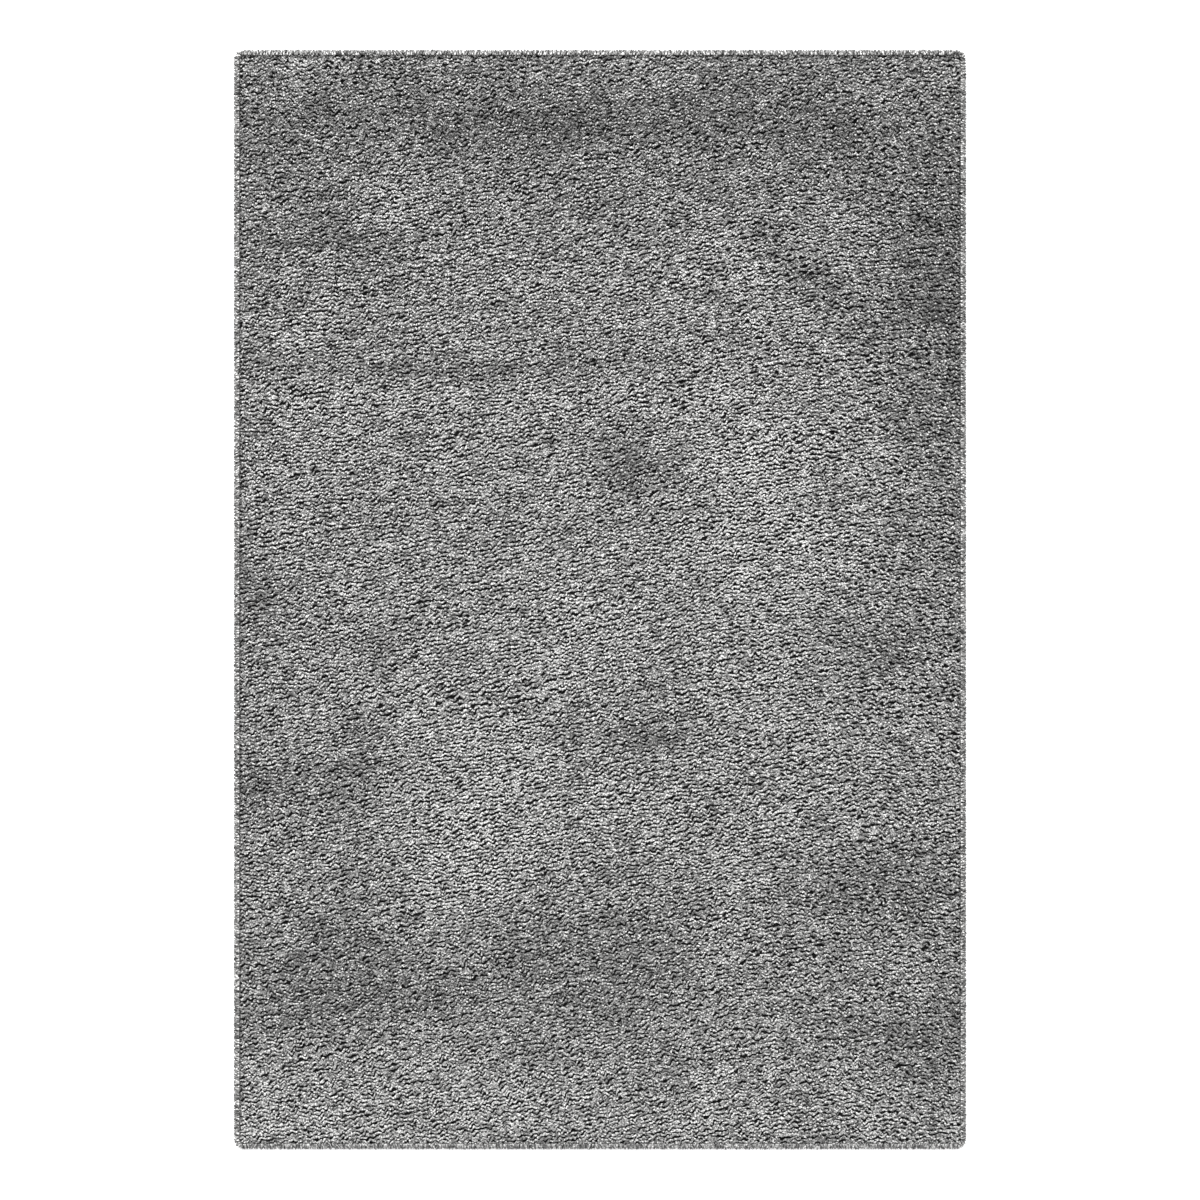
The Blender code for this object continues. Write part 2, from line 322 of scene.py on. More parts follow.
def measured_top(rug):
    """The height of the CAD pile's top as a function of x and y, read from its solid."""
    tree = BVHTree.FromObject(rug, bpy.context.evaluated_depsgraph_get())
    reach = HALF - TOP_INSET
    xs = np.linspace(-reach[0], reach[0], TOP_SAMPLES[0])
    ys = np.linspace(-reach[1], reach[1], TOP_SAMPLES[1])
    heights = np.empty((len(ys), len(xs)))
    for j, y in enumerate(ys):
        for i, x in enumerate(xs):
            hit = tree.ray_cast(Vector((x, y, 1.0)), Vector((0, 0, -1)))[0]
            heights[j, i] = hit.z

    def top(x, y):
        u = ((np.asarray(x) + reach[0]) / (2 * reach[0]) * (len(xs) - 1)).clip(0, len(xs) - 1.001)
        v = ((np.asarray(y) + reach[1]) / (2 * reach[1]) * (len(ys) - 1)).clip(0, len(ys) - 1.001)
        i, j = u.astype(int), v.astype(int)
        s, t = u - i, v - j
        low = heights[j, i] * (1 - s) + heights[j, i + 1] * s
        high = heights[j + 1, i] * (1 - s) + heights[j + 1, i + 1] * s
        distance = edge_distance(np.asarray(x), np.asarray(y))[0]
        return low * (1 - t) + high * t - SHOULDER * (1 - distance / TOP_INSET).clip(0, 1) ** 2

    return top


# ---- Mesh helpers --------------------------------------------------------------------------------


def mesh_object(name, points, faces, material):
    mesh = bpy.data.meshes.new(name)
    mesh.from_pydata([tuple(p) for p in points], [], [tuple(f) for f in faces])
    mesh.materials.append(material)
    piece = bpy.data.objects.new(name, mesh)
    bpy.context.scene.collection.objects.link(piece)
    return piece


def joined_object(name, part, material):
    """One mesh of many small bodies, from each one's points and map places, and their faces."""
    count, size = part["points"].shape[:2]
    points = part["points"].reshape(-1, 3)
    faces = (np.arange(count)[:, None, None] * size + part["faces"]).reshape(-1, 3)
    mesh = bpy.data.meshes.new(name)
    mesh.vertices.add(len(points))
    mesh.vertices.foreach_set("co", points.astype(np.float32).ravel())
    mesh.loops.add(len(faces) * 3)
    mesh.loops.foreach_set("vertex_index", faces.astype(np.int32).ravel())
    mesh.polygons.add(len(faces))
    mesh.polygons.foreach_set("loop_start", np.arange(0, len(faces) * 3, 3, dtype=np.int32))
    mesh.polygons.foreach_set("use_smooth", np.ones(len(faces), bool))
    mesh.update(calc_edges=True)
    layer = mesh.uv_layers.new(name="OFBake", do_init=False)
    layer.uv.foreach_set("vector", part["places"].astype(np.float32).ravel())
    mesh.materials.append(material)
    mesh.validate()
    piece = bpy.data.objects.new(name, mesh)
    bpy.context.scene.collection.objects.link(piece)
    return piece


def map_places(shade, across, up):
    """Places on the yarn's map, where paler yarn is further right and the tips are at the top."""
    left = YARN_MARGIN + shade * (1 - 2 * YARN_MARGIN - YARN_STRIP)
    u = left[:, None, None] + across * YARN_STRIP
    return np.stack([u, np.broadcast_to(up, u.shape)], -1)


def lock_part(locks):
    """Closed three-sided locks: a root point, three points round the bend, and a tip point."""
    root, bend, tip = locks["root"], locks["bend"], locks["tip"]
    along = tip - root
    along /= np.linalg.norm(along, axis=1, keepdims=True)
    side = np.cross(along, np.array([0.0, 0.0, 1.0]))
    side /= np.linalg.norm(side, axis=1, keepdims=True) + 1e-9
    over = np.cross(side, along)
    points = np.empty((len(root), 5, 3))
    points[:, 0], points[:, 4] = root, tip
    for corner in range(3):
        turn = locks["roll"] + corner * 2 * math.pi / 3
        points[:, 1 + corner] = (
            bend
            + side * (np.cos(turn) * locks["width"] / 2)[:, None]
            + over * (np.sin(turn) * locks["thickness"] / 2)[:, None]
        )
    faces = np.array([(2, 1, 4), (1, 2, 0), (3, 2, 4), (2, 3, 0), (1, 3, 4), (3, 1, 0)])
    third = np.repeat(np.arange(3), 2)[:, None]
    across = (np.array([[1, 0, 0.5], [0, 1, 0.5]] * 3) + third) / 3
    up = np.array([[YARN_BEND, YARN_BEND, YARN_TIP], [YARN_BEND, YARN_BEND, YARN_ROOT]] * 3)
    return dict(points=points, faces=faces, places=map_places(locks["shade"], across, up))


def wall_faces(lower, upper):
    """The faces between two rings of as many points, which run anticlockwise seen from above."""
    return list(zip(lower, np.roll(lower, -1), np.roll(upper, -1), upper))


def rounded(points, half, radius):
    """Points in a rectangle of these half sizes, with those in its corners drawn in to be round."""
    inner = half - radius
    over = np.abs(points) - inner
    corner = (over > 0).all(1)
    reach = over[corner].max(1) / np.linalg.norm(over[corner], axis=1)
    points = points.copy()
    points[corner] = np.sign(points[corner]) * (inner + over[corner] * reach[:, None])
    return points


def border_loop(spacing, inset):
    """Places round the outline moved in by inset, and their outward directions."""
    radius = max(CORNER_RADIUS - inset, LEAST_RADIUS)
    inner = HALF - inset - radius
    places, ways = [], []
    centres = np.array([[1, 1], [-1, 1], [-1, -1], [1, -1]]) * inner
    for corner in range(4):
        steps = max(2, round(radius * math.pi / 2 / spacing))
        angles = math.pi / 2 * (corner + (np.arange(steps) + 0.5) / steps)
        ways.append(np.stack([np.cos(angles), np.sin(angles)], 1))
        places.append(centres[corner] + radius * ways[-1])
        way = np.array([math.cos(math.pi / 2 * (corner + 1)), math.sin(math.pi / 2 * (corner + 1))])
        start = centres[corner] + radius * way
        end = centres[(corner + 1) % 4] + radius * way
        steps = round(np.linalg.norm(end - start) / spacing)
        share = ((np.arange(steps) + 0.5) / steps)[:, None]
        places.append(start + (end - start) * share)
        ways.append(np.tile(way, (steps, 1)))
    return np.concatenate(places), np.concatenate(ways)


# ---- Materials -----------------------------------------------------------------------------------

SPECULAR = 0.08
SHEEN_ROUGHNESS = 0.5

YARN_MARGIN = 0.03
YARN_STRIP = 0.05  # how wide one lock is on its map
YARN_ROOT = 0.015  # how far up its map a lock starts, bends and ends
YARN_BEND = 0.45
YARN_TIP = 0.985
YARN_FIBRES = (34.0, 3.4)  # the noise cells of its fibres, across the map and up it

# Of the lower pile. A scale is in cells of noise to a metre, and a width is in rows.
FIBRE_SCALE = (390.0, 390.0)  # of its curly fibres
FIBRE_CURL = 0.8
FIBRE_GAP_PAINTED_SHADE = 0.06  # painted shade: how light the gaps between them are
CLEFT_PAINTED_SHADOW = 0.015  # painted shadow: how light the clefts between the rows are
CLEFT_EDGE = 0.08  # how soft their edges are
BREAK_SCALE = (85.0, 145.0)  # of the noise that breaks the clefts, along and across the rows
BREAK_LEVEL = 0.343  # of that noise where a cleft is neither wider nor narrower for it
BREAK_DEPTH = 1.0  # how much it widens and narrows them
BREAK_TONE = 0.06  # how much wider they are in a light patch
CALM_BREAK = 0.015  # how much narrower they are where the rows stand out least
EDGE_BREAK = 1.0  # and at the outline
SWELL_SCALE = (25.0, 60.0)  # of a slower noise that widens and narrows them too
SWELL_DEPTH = 0.25
BUMP_DEPTH = 0.005
RIDGE = 0.4  # how high the rows stand in the bump, against the fibres
RIDGE_SLOPE = 4.0

THREAD_PITCH = 0.0026  # of the ground cloth


def new_material(name, roughness, sheen):
    material = bpy.data.materials.new(name)
    material.use_nodes = True
    tree = material.node_tree
    shader = tree.nodes["Principled BSDF"]
    shader.inputs["Roughness"].default_value = roughness
    shader.inputs["Specular IOR Level"].default_value = SPECULAR
    shader.inputs["Sheen Weight"].default_value = sheen
    shader.inputs["Sheen Roughness"].default_value = SHEEN_ROUGHNESS
    return material, tree, shader


def add_node(tree, kind, **values):
    node = tree.nodes.new(kind)
    for name, value in values.items():
        setattr(node, name, value)
    return node


def attribute_node(tree, name):
    return add_node(tree, "ShaderNodeAttribute", attribute_name=name).outputs["Fac"]


def math_node(tree, operation, *values):
    node = add_node(tree, "ShaderNodeMath", operation=operation)
    for socket, value in zip(node.inputs, values):
        if isinstance(value, bpy.types.NodeSocket):
            tree.links.new(value, socket)
        else:
            socket.default_value = value
    return node.outputs[0]


def ramp_node(tree, factor, stops):
    """A colour ramp from (position, colour) stops."""
    node = add_node(tree, "ShaderNodeValToRGB")
    elements = node.color_ramp.elements
    while len(elements) < len(stops):
        elements.new(0.5)
    for element, (position, colour) in zip(elements, stops):
        element.position = position
        element.color = (*colour, 1.0)
    tree.links.new(factor, node.inputs["Fac"])
    return node.outputs["Color"]


def grey(value, warmth=0.006):
    return (value * (1 + warmth), value, value * (1 - 2 * warmth))


def multiplied(tree, first, second):
    node = add_node(tree, "ShaderNodeMix", data_type="RGBA", blend_type="MULTIPLY")
    node.inputs["Factor"].default_value = 1.0
    tree.links.new(first, node.inputs["A"])
    tree.links.new(second, node.inputs["B"])
    return node.outputs["Result"]


def scaled_noise(tree, vector, along, across, detail, distortion=0.0, offset=0.0):
    """Flat noise with so many cells along and across, to the unit that the vector is in."""
    stretch = add_node(tree, "ShaderNodeMapping")
    stretch.inputs["Location"].default_value = (offset, offset, 0.0)
    stretch.inputs["Scale"].default_value = (along, across, 1.0)
    tree.links.new(vector, stretch.inputs["Vector"])
    noise = add_node(tree, "ShaderNodeTexNoise", noise_dimensions="2D")
    noise.inputs["Scale"].default_value = 1.0
    noise.inputs["Detail"].default_value = detail
    noise.inputs["Distortion"].default_value = distortion
    tree.links.new(stretch.outputs["Vector"], noise.inputs["Vector"])
    return noise.outputs["Fac"]


def yarn_material():
    """Grey yarn with painted shade that darkens each lock towards its root, pale at its tip, with
    fine fibres along each lock.
    """
    material, tree, shader = new_material("grey_yarn", roughness=0.88, sheen=0.0)
    place = add_node(tree, "ShaderNodeUVMap", uv_map="OFBake")
    split = add_node(tree, "ShaderNodeSeparateXYZ")
    tree.links.new(place.outputs["UV"], split.inputs["Vector"])
    across, up = split.outputs["X"], split.outputs["Y"]
    shade = ramp_node(
        tree, across, [(0.0, grey(0.05)), (0.35, grey(0.30)), (0.65, grey(0.80)), (1.0, grey(1.0))]
    )
    # Painted shade: each lock is darkened towards its root, where the pile above shades it.
    rise = ramp_node(
        tree,
        up,
        [(0.0, grey(0.06, 0)), (0.30, grey(0.20, 0)), (0.42, grey(0.90, 0)), (0.70, grey(1.0, 0))],
    )
    fibre = scaled_noise(tree, place.outputs["UV"], *YARN_FIBRES, detail=3.0, distortion=0.8)
    fibres = ramp_node(
        tree,
        fibre,
        [(0.36, grey(0.45, 0)), (0.50, grey(0.80, 0)), (0.64, grey(1.0, 0))],
    )
    colour = multiplied(tree, multiplied(tree, shade, rise), fibres)
    tree.links.new(colour, shader.inputs["Base Color"])
    return material


def waved_row(tree, place):
    """The number of the row at a place with its short waves, as row_number gives it."""
    row = attribute_node(tree, "row")
    share = attribute_node(tree, "mirrored")
    calmness = attribute_node(tree, "calm")
    whole = math_node(tree, "MULTIPLY_ADD", calmness, CALM_WAVE * ROW_WAVE, ROW_WAVE)
    for mirrored in (0, 1):
        own_share = share if mirrored else math_node(tree, "SUBTRACT", 1.0, share)
        size = math_node(tree, "MULTIPLY", math_node(tree, "SQRT", own_share), whole)
        for turn_x, turn_y, phase in row_waves(mirrored):
            dot = add_node(tree, "ShaderNodeVectorMath", operation="DOT_PRODUCT")
            tree.links.new(place, dot.inputs[0])
            dot.inputs[1].default_value = (turn_x, turn_y, 0.0)
            wave = math_node(tree, "SINE", math_node(tree, "ADD", dot.outputs["Value"], phase))
            row = math_node(tree, "MULTIPLY_ADD", wave, size, row)
    return row


def base_material():
    """The lower pile: curly fibres with painted shade between them, and painted shadow in the
    clefts between the rows of tufts.
    """
    material, tree, shader = new_material("lower_pile", roughness=0.92, sheen=0.0)
    place = add_node(tree, "ShaderNodeTexCoord")
    split = add_node(tree, "ShaderNodeSeparateXYZ")
    tree.links.new(place.outputs["Object"], split.inputs["Vector"])
    row = waved_row(tree, place.outputs["Object"])
    lay = add_node(tree, "ShaderNodeCombineXYZ")
    tree.links.new(split.outputs["X"], lay.inputs["X"])
    tree.links.new(attribute_node(tree, "lie"), lay.inputs["Y"])
    lay = lay.outputs["Vector"]
    fibre = scaled_noise(tree, lay, *FIBRE_SCALE, detail=1.0, distortion=FIBRE_CURL)
    # Painted shade: the gaps between the fibres are dark.
    fibres = ramp_node(
        tree, fibre, [(0.40, grey(FIBRE_GAP_PAINTED_SHADE)), (0.50, grey(0.45)), (0.60, grey(1.0))]
    )
    off_row = math_node(tree, "SUBTRACT", row, math_node(tree, "ROUND", row))
    off_row = math_node(tree, "ABSOLUTE", off_row)
    rows = add_node(tree, "ShaderNodeCombineXYZ")
    tree.links.new(split.outputs["X"], rows.inputs["X"])
    tree.links.new(math_node(tree, "MULTIPLY", row, TUFT_PITCH[1]), rows.inputs["Y"])
    rows = rows.outputs["Vector"]
    breaks = scaled_noise(tree, rows, *BREAK_SCALE, detail=1.0, offset=3.1)
    breaks = math_node(tree, "SUBTRACT", breaks, BREAK_LEVEL)
    width = math_node(tree, "MULTIPLY", breaks, BREAK_DEPTH)
    width = math_node(tree, "MULTIPLY_ADD", attribute_node(tree, "tone"), BREAK_TONE, width)
    width = math_node(tree, "MULTIPLY_ADD", attribute_node(tree, "calm"), -CALM_BREAK, width)
    width = math_node(tree, "MULTIPLY_ADD", attribute_node(tree, "edge"), -EDGE_BREAK, width)
    swell = scaled_noise(tree, rows, *SWELL_SCALE, detail=1.0, offset=5.1)
    swell = math_node(tree, "SUBTRACT", swell, 0.5)
    width = math_node(tree, "MULTIPLY_ADD", swell, SWELL_DEPTH, width)
    inside = math_node(tree, "SUBTRACT", math_node(tree, "SUBTRACT", 0.5, off_row), width)
    # Painted shadow: the clefts between the rows are darkened almost to black.
    clefts = ramp_node(tree, inside, [(0.0, grey(CLEFT_PAINTED_SHADOW, 0)), (CLEFT_EDGE, grey(1.0, 0))])
    # Painted light and shade: the brushed patches' tone makes the lower pile's colour paler or
    # darker.
    share = math_node(tree, "MULTIPLY_ADD", attribute_node(tree, "tone"), 0.5, 0.5)
    brushed = ramp_node(
        tree, share, [(0.0, grey(0.25, 0)), (0.5, grey(0.72, 0)), (1.0, grey(1.0, 0))]
    )
    colour = multiplied(tree, multiplied(tree, fibres, clefts), brushed)
    tree.links.new(colour, shader.inputs["Base Color"])
    ridge = math_node(tree, "MINIMUM", math_node(tree, "MULTIPLY", inside, RIDGE_SLOPE), 1.0)
    bump = add_node(tree, "ShaderNodeBump")
    bump.inputs["Strength"].default_value = 1.0
    bump.inputs["Distance"].default_value = BUMP_DEPTH
    tree.links.new(math_node(tree, "MULTIPLY_ADD", ridge, RIDGE, fibre), bump.inputs["Height"])
    tree.links.new(bump.outputs["Normal"], shader.inputs["Normal"])
    return material


def cloth_material():
    """Plain woven ground cloth in warm off-white, with painted shade that darkens it where the
    weave is low, between its threads.
    """
    material, tree, shader = new_material("woven_ground", roughness=0.9, sheen=0.05)
    place = add_node(tree, "ShaderNodeTexCoord")
    split = add_node(tree, "ShaderNodeSeparateXYZ")
    tree.links.new(place.outputs["Object"], split.inputs["Vector"])
    waves = []
    for axis in ("X", "Y"):
        turns = math_node(tree, "MULTIPLY", split.outputs[axis], math.pi / THREAD_PITCH)
        waves.append(math_node(tree, "SINE", turns))
    rounds = [math_node(tree, "ABSOLUTE", wave) for wave in waves]
    threads = math_node(tree, "MULTIPLY", rounds[0], rounds[1])
    over = math_node(tree, "GREATER_THAN", math_node(tree, "MULTIPLY", waves[0], waves[1]), 0.0)
    height = math_node(tree, "ADD", threads, math_node(tree, "MULTIPLY", over, 0.25))
    slub = add_node(tree, "ShaderNodeTexNoise")
    slub.inputs["Scale"].default_value = 60.0
    slub.inputs["Detail"].default_value = 4.0
    tree.links.new(place.outputs["Object"], slub.inputs["Vector"])
    # Painted shade: darker where the weave is low, between the threads, and paler on the threads
    # that cross over.
    weave = ramp_node(
        tree,
        height,
        [(0.0, (0.16, 0.14, 0.11)), (0.35, (0.42, 0.38, 0.31)), (1.0, (0.62, 0.57, 0.48))],
    )
    tint = ramp_node(
        tree, slub.outputs["Fac"], [(0.3, (0.80, 0.79, 0.77)), (0.7, (1.0, 1.0, 1.0))]
    )
    tree.links.new(multiplied(tree, weave, tint), shader.inputs["Base Color"])
    bump = add_node(tree, "ShaderNodeBump")
    bump.inputs["Strength"].default_value = 0.8
    bump.inputs["Distance"].default_value = 0.0006
    tree.links.new(height, bump.inputs["Height"])
    tree.links.new(bump.outputs["Normal"], shader.inputs["Normal"])
    return material


# ---- The pieces ----------------------------------------------------------------------------------


def make_cloth():
    """The ground cloth that the pile stands in: a thin slab with round corners and soft edges."""
    inner = HALF - CLOTH_INSET - CORNER_RADIUS
    loop = []
    for corner, side in enumerate(((1, 1), (-1, 1), (-1, -1), (1, -1))):
        for step in range(CLOTH_CORNER_STEPS + 1):
            angle = math.pi / 2 * (corner + step / CLOTH_CORNER_STEPS)
            way = np.array([math.cos(angle), math.sin(angle)])
            loop.append(side * inner + CORNER_RADIUS * way)
    loop = np.array(loop)
    edges = np.roll(loop, -1, 0) - loop
    edges /= np.linalg.norm(edges, axis=1, keepdims=True)
    inward = np.stack([-edges[:, 1], edges[:, 0]], 1)
    before = np.roll(inward, 1, 0)
    # Moved by this, a corner of the loop is one unit further inside both of its edges.
    mitre = (before + inward) / (1 + (before * inward).sum(1, keepdims=True))
    turns = np.linspace(0, math.pi / 2, CLOTH_EDGE_STEPS + 1)
    low = [(CLOTH_EDGE * (1 - math.sin(t)), CLOTH_EDGE * (1 - math.cos(t))) for t in turns]
    high = [(inset, CLOTH_THICKNESS - level) for inset, level in reversed(low)]
    points, rings = [], []
    for inset, level in low + high:
        rings.append(len(points) * len(loop) + np.arange(len(loop)))
        points.append(np.column_stack([loop + mitre * inset, np.full(len(loop), level)]))
    faces = [rings[0][::-1], rings[-1]]
    for lower, upper in zip(rings, rings[1:]):
        faces += wall_faces(lower, upper)
    return mesh_object("ground_cloth", np.concatenate(points), faces, cloth_material())


def make_base(top):
    """The dense lower pile: a lumpy body that the locks stand out of."""
    half = HALF - BASE_INSET
    cells = np.round(2 * half / BASE_CELL).astype(int)
    xs = np.linspace(-half[0], half[0], cells[0] + 1)
    ys = np.linspace(-half[1], half[1], cells[1] + 1)
    grid_x, grid_y = np.meshgrid(xs, ys)
    grid = np.stack([grid_x.ravel(), grid_y.ravel()], 1)
    flat = rounded(grid, half, CORNER_RADIUS - BASE_INSET)
    edge = (half - np.abs(grid)).min(1)
    height = top(flat[:, 0], flat[:, 1]) - BASE_DEPTH
    height += ripple(flat[:, 0], flat[:, 1])
    height = np.where(edge < 1e-6, np.minimum(height, BASE_EDGE_HEIGHT), height)
    points = np.column_stack([flat, height])
    number = np.arange(len(points)).reshape(len(ys), len(xs))
    near, far = number[:-1], number[1:]
    quads = np.stack([near[:, :-1], near[:, 1:], far[:, 1:], far[:, :-1]], -1).reshape(-1, 4)
    faces = list(quads)
    ring = np.concatenate([number[0, :-1], number[:-1, -1], number[-1, :0:-1], number[:0:-1, 0]])
    rings = [ring]
    for inset, level in BASE_WALL:
        spots = points[ring, :2] * (HALF - inset) / half
        rings.append(len(points) + np.arange(len(ring)))
        points = np.vstack([points, np.column_stack([spots, np.full(len(ring), level)])])
    for upper, lower in zip(rings, rings[1:]):
        faces += wall_faces(lower, upper)
    faces.append(rings[-1][::-1])
    piece = mesh_object("pile_base", points, faces, base_material())
    mesh = piece.data
    mesh.shade_smooth()
    x, y = points[:, 0], points[:, 1]
    lie = y - line_rise(x, YARN_ANGLES)
    edge = (1 - edge_distance(x, y)[0] / SPLAY_REACH).clip(0, 1)
    found = dict(
        row=smooth_row(x, y),
        mirrored=mirrored_share(x, y),
        lie=lie,
        # Painted light: the lower pile's tone is raised near the outline, against the shade on its
        # sloping edge.
        tone=brushed_tone(x, y) + EDGE_BASE_PAINTED_LIGHT * edge,
        calm=calm(x, y),
        edge=edge,
    )
    for name, values in found.items():
        layer = mesh.attributes.new(name, "FLOAT", "POINT")
        layer.data.foreach_set("value", values.astype(np.float32))
    return piece


def edge_distance(x, y):
    """How far inside the outline a place is, and its outward direction, slanting at a corner."""
    inside = HALF - CORNER_RADIUS
    over = np.maximum(np.abs(np.stack([x, y], 1)) - inside, 0)
    gaps = HALF - np.abs(np.stack([x, y], 1))
    in_corner = (over > 0).all(1)
    distance = np.where(in_corner, CORNER_RADIUS - np.linalg.norm(over, axis=1), gaps.min(1))
    pull = np.exp(-gaps / CORNER_BLEND)
    ways = np.sign(np.stack([x, y], 1)) * pull
    ways /= np.linalg.norm(ways, axis=1, keepdims=True) + 1e-12
    return distance, ways


def tuft_places():
    """The tufts' places and the numbers of their rows, row by row."""
    reach = HALF - FIELD_INSET
    pitch_x, pitch_y = TUFT_PITCH
    columns = int(2 * reach[0] / pitch_x) + 1
    rows = int(1.3 * reach[1] / pitch_y)  # more than are kept, because the rows slope
    column, row = np.meshgrid(np.arange(columns), np.arange(-rows, rows))
    x = (column + (TUFT_SHIFT * row) % 1).ravel() * pitch_x - reach[0]
    row = row.ravel()
    y = row * pitch_y + line_rise(x, ROW_ANGLES)
    keep = np.abs(y) < reach[1] + 0.3 * pitch_y
    return x[keep], y[keep], row[keep]


def on_row(x, y, row):
    """The y at which a place of this x is on this row, near the y given."""
    for _ in range(6):  # damped steps, because the waves turn as y moves
        y = y + 0.7 * (row - row_number(x, y)) * TUFT_PITCH[1]
    return y


def field_locks(top, rng):
    """The locks of the whole top, tuft by tuft."""
    tuft_x, tuft_y, row = tuft_places()
    tufts = len(tuft_x)
    count = tufts * TUFT_LOCKS

    def each(values):
        return np.repeat(values, TUFT_LOCKS)

    reach = HALF - FIELD_INSET
    share = (np.tile(np.arange(TUFT_LOCKS), tufts) + rng.uniform(0, 1, count)) / TUFT_LOCKS - 0.5
    x = (each(tuft_x) + share * TUFT_PITCH[0]).clip(-reach[0], reach[0])
    order = np.argsort(rng.random((tufts, TUFT_LOCKS)), 1).ravel()
    across = LOCK_SPREAD * (order + rng.uniform(0, 1, count))
    across = across / TUFT_LOCKS - LOCK_SPREAD / 2
    y = on_row(x, each(tuft_y), each(row) + across).clip(-reach[1], reach[1])
    middle = np.stack([x, y], 1)
    tone = brushed_tone(x, y)
    angle = np.radians(yarn_lie(x, y)) + LIE_SWAY[0] * smooth_field(45, LIE_SWAY[1], x, y)
    angle = angle + TUFT_TURN * each(rng.normal(size=tufts))
    angle = angle + each(np.where(rng.random(tufts) < BACKWARD_TUFTS, math.pi, 0.0))
    flat = FLATNESS + LIGHT_FLATNESS * tone + FLATNESS_STRAY * each(rng.normal(size=tufts))
    flat = flat.clip(LEAST_FLATNESS, 1)
    lift = TUFT_LIFT * each(rng.normal(size=tufts))
    turned = angle + LOCK_TURN * rng.normal(size=count)
    lean = np.stack([np.cos(turned), np.sin(turned)], 1)
    side = np.stack([-lean[:, 1], lean[:, 0]], 1)
    standing, lying = LOCK_LENGTH
    length = (standing + (lying - standing) * flat) * rng.uniform(0.75, 1.25, count)
    distance, outward = edge_distance(middle[:, 0], middle[:, 1])
    splay = (SPLAY_START - distance / SPLAY_REACH).clip(0, 1)[:, None]
    lean = lean * (1 - splay) + outward * splay
    lean /= np.linalg.norm(lean, axis=1, keepdims=True) + 1e-9
    root = (middle - lean * (LOCK_BACK * length)[:, None]).clip(-reach, reach)
    low_half = LOCK_LOW_HALF - SPLAY_LOW_HALF * splay[:, 0]
    sway = LOCK_BEND_SWAY * rng.normal(size=count)
    bend = root + lean * (low_half * length)[:, None] + side * sway[:, None]
    curl = LOCK_CURL * rng.normal(size=count)
    curled = np.stack([np.cos(turned + curl), np.sin(turned + curl)], 1)
    curled = curled * (1 - splay) + outward * splay
    tip = bend + curled * ((1 - low_half) * length)[:, None]
    limit = HALF + TIP_LIMIT
    tip = tip.clip(-limit, limit)
    height = top(x, y) + ripple(x, y) + lift
    dome = LOCK_DOME * (2 * across / LOCK_SPREAD) ** 2
    bend_z = height - LOCK_BEND_DEPTH - dome + LOCK_STRAY * rng.normal(size=count)
    tip_z = bend_z - LOCK_TIP_DEPTH + LOCK_STAND * (1 - flat) + LOCK_STRAY * rng.normal(size=count)
    tip_z -= splay[:, 0] * SPLAY_DROP
    root_z = bend_z - LOCK_ROOT_DEPTH
    return dict(
        root=np.column_stack([root, root_z]),
        bend=np.column_stack([bend, bend_z]),
        tip=np.column_stack([tip, tip_z]),
        width=LOCK_WIDTH * rng.uniform(0.75, 1.3, count),
        thickness=LOCK_WIDTH * rng.uniform(0.8, 1.2, count),
        roll=rng.uniform(0, 2 * math.pi, count),
        # The colour mixes the yarn's own tone with painted light and shade from the brushed
        # patches, and painted light on the locks that lean out at the edge.
        shade=(
            PILE_SHADE + TONE_PAINTED_SHADING * tone + STREAK_SHADE * streaks(46, STREAK_SIZE, x, y)
            + EDGE_LOCK_PAINTED_LIGHT * splay[:, 0] + LOCK_SHADE * rng.normal(size=count)
        ).clip(0, 1),
    )


def rim_locks(rng):
    """The locks round the rim, row over row, which lean out past the ground cloth and droop."""
    found = []
    for number, (inset, root_height, reach, drop, shade) in enumerate(RIM_ROWS):
        place, way = border_loop(RIM_SPACING, inset)
        count = len(place)
        along = np.stack([-way[:, 1], way[:, 0]], 1)
        place = place + along * rng.uniform(-0.5, 0.5, (count, 1)) * RIM_SPACING
        sway = RIM_TIP_SWAY * rng.normal(size=count)
        sway += RIM_SWAY[0] * smooth_field(51 + number, RIM_SWAY[1], place[:, 0], place[:, 1])
        level = root_height + RIM_HEIGHT_STRAY * rng.normal(size=count)
        out = reach - RIM_SHORTFALL * rng.random(count) ** 2
        root = place - way * RIM_ROOT_BACK
        bend = place + way * (RIM_BEND * out)[:, None] + along * (RIM_BEND * sway)[:, None]
        tip = place + way * out[:, None] + along * sway[:, None]
        bend_z = np.maximum(level + RIM_BEND_RISE - RIM_BEND * drop, RIM_FLOOR[0])
        tip_z = np.maximum(level - drop * rng.uniform(0.7, 1.2, count), RIM_FLOOR[1])
        # Painted shade: the rim's colour is darker on the side that faces the light.
        shades = shade - FAR_RIM_PAINTED_SHADE * way[:, 1].clip(0, 1)
        found.append(
            dict(
                root=np.column_stack([root, level]),
                bend=np.column_stack([bend, bend_z]),
                tip=np.column_stack([tip, tip_z]),
                width=RIM_SIZE[0] * rng.uniform(0.8, 1.25, count),
                thickness=RIM_SIZE[1] * rng.uniform(0.8, 1.2, count),
                roll=rng.uniform(0, 2 * math.pi, count),
                shade=(shades + LOCK_SHADE * rng.normal(size=count)).clip(0, 1),
            )
        )
    return {key: np.concatenate([part[key] for part in found]) for key in found[0]}


def make_pile(top):
    """The locks as joined meshes: one piece round the rim, and the top in full-length strips."""
    material = yarn_material()
    rng = np.random.default_rng(SEED)
    locks = field_locks(top, rng)
    pieces = [joined_object("pile_rim", lock_part(rim_locks(rng)), material)]
    order = np.argsort(locks["root"][:, 0], kind="stable")
    for number, chosen in enumerate(np.array_split(order, STRIPS)):
        part = lock_part({key: values[chosen] for key, values in locks.items()})
        pieces.append(joined_object(f"pile_strip_{number + 1}", part, material))
    return pieces


# ---- The stage -----------------------------------------------------------------------------------

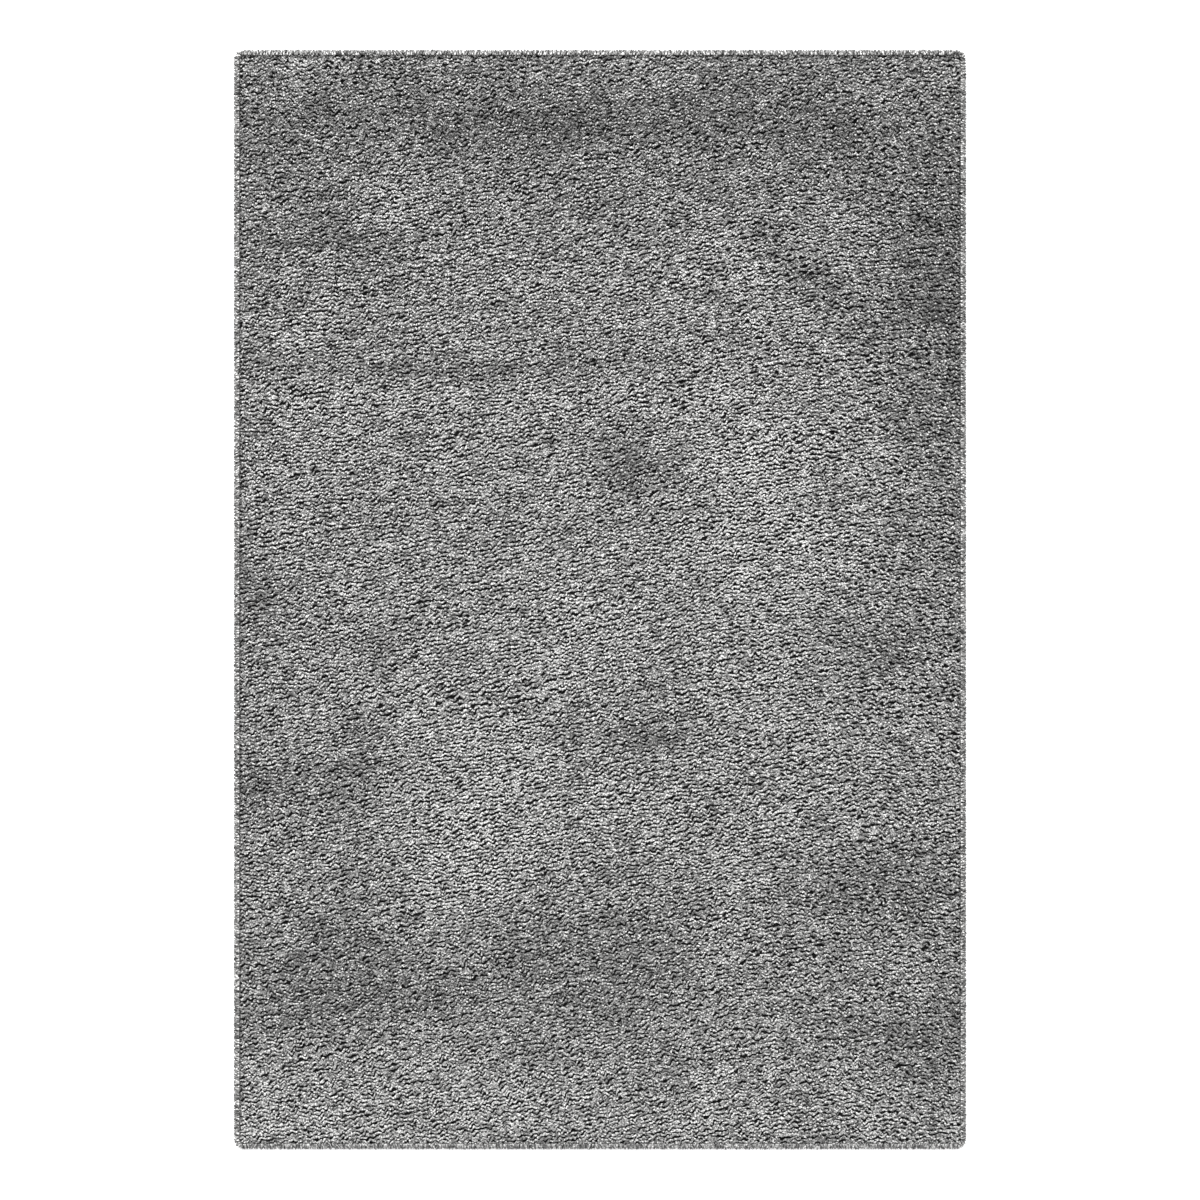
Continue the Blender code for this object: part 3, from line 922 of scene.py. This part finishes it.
FRAME_PIXELS = 1200
RUG_PIXELS = (732, 1101)  # the rug's width and length in the photo
CAMERA_HEIGHT = 6.0
CAMERA_SHIFT = -0.0009  # along Y: the rug is a little above the photo's middle
FLOOR_HALF = 6.0
FLOOR_LEVEL = -0.0002
OUTLINE_HEIGHT = 0.008  # of the widest part of the rug above the floor
FLOOR_GLOW = 0.3  # a lit table, so that the rug casts hardly a shadow
LIGHTS = (
    # name, direction, spread in degrees, power
    ("overhead_softbox", (0.0, 0.1, 1.0), 50, 2.3),
    ("top_side_softbox", (-0.15, 1.0, 1.1), 24, 4.45),
)
WORLD_LIGHT = 0.35


def make_camera():
    """A camera straight above, which frames the rug as the photo does."""
    data = bpy.data.cameras.new("camera")
    camera = bpy.data.objects.new("camera", data)
    bpy.context.scene.collection.objects.link(camera)
    bpy.context.scene.camera = camera
    camera.location = (0, CAMERA_SHIFT, CAMERA_HEIGHT)
    frame_width = np.mean([2 * HALF[i] / RUG_PIXELS[i] for i in range(2)]) * FRAME_PIXELS
    data.sensor_width = 36.0
    data.lens = data.sensor_width * (CAMERA_HEIGHT - OUTLINE_HEIGHT) / frame_width
    data.clip_end = 100.0


def make_floor():
    material = bpy.data.materials.new("pale_floor")
    material.use_nodes = True
    shader = material.node_tree.nodes["Principled BSDF"]
    shader.inputs["Base Color"].default_value = (0.93, 0.93, 0.93, 1)
    shader.inputs["Roughness"].default_value = 0.9
    shader.inputs["Specular IOR Level"].default_value = 0.1
    shader.inputs["Emission Color"].default_value = (1, 1, 1, 1)
    shader.inputs["Emission Strength"].default_value = FLOOR_GLOW
    places = [(x * FLOOR_HALF, y * FLOOR_HALF, 0) for x, y in ((-1, -1), (1, -1), (1, 1), (-1, 1))]
    floor = mesh_object("floor", places, [(0, 1, 2, 3)], material)
    floor.location.z = FLOOR_LEVEL


def add_light(name, direction, spread, power):
    data = bpy.data.lights.new(name, "SUN")
    data.angle = math.radians(spread)
    data.energy = power
    light = bpy.data.objects.new(name, data)
    bpy.context.scene.collection.objects.link(light)
    light.location = Vector(direction) * 3
    light.rotation_euler = Vector(direction).to_track_quat("Z", "Y").to_euler()


def make_lights():
    for name, direction, spread, power in LIGHTS:
        add_light(name, direction, spread, power)
    world = bpy.data.worlds.new("studio")
    bpy.context.scene.world = world
    world.use_nodes = True
    background = world.node_tree.nodes["Background"]
    background.inputs["Color"].default_value = (1, 1, 1, 1)
    background.inputs["Strength"].default_value = WORLD_LIGHT
    bpy.context.scene.view_settings.view_transform = "Standard"


make_camera()
make_floor()
make_lights()
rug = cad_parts["rug"]
pile_top = measured_top(rug)
cloth = make_cloth()
base = make_base(pile_top)
pile = make_pile(pile_top)
for piece in [cloth, base, *pile]:
    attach(piece, "root")
    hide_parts("rug")
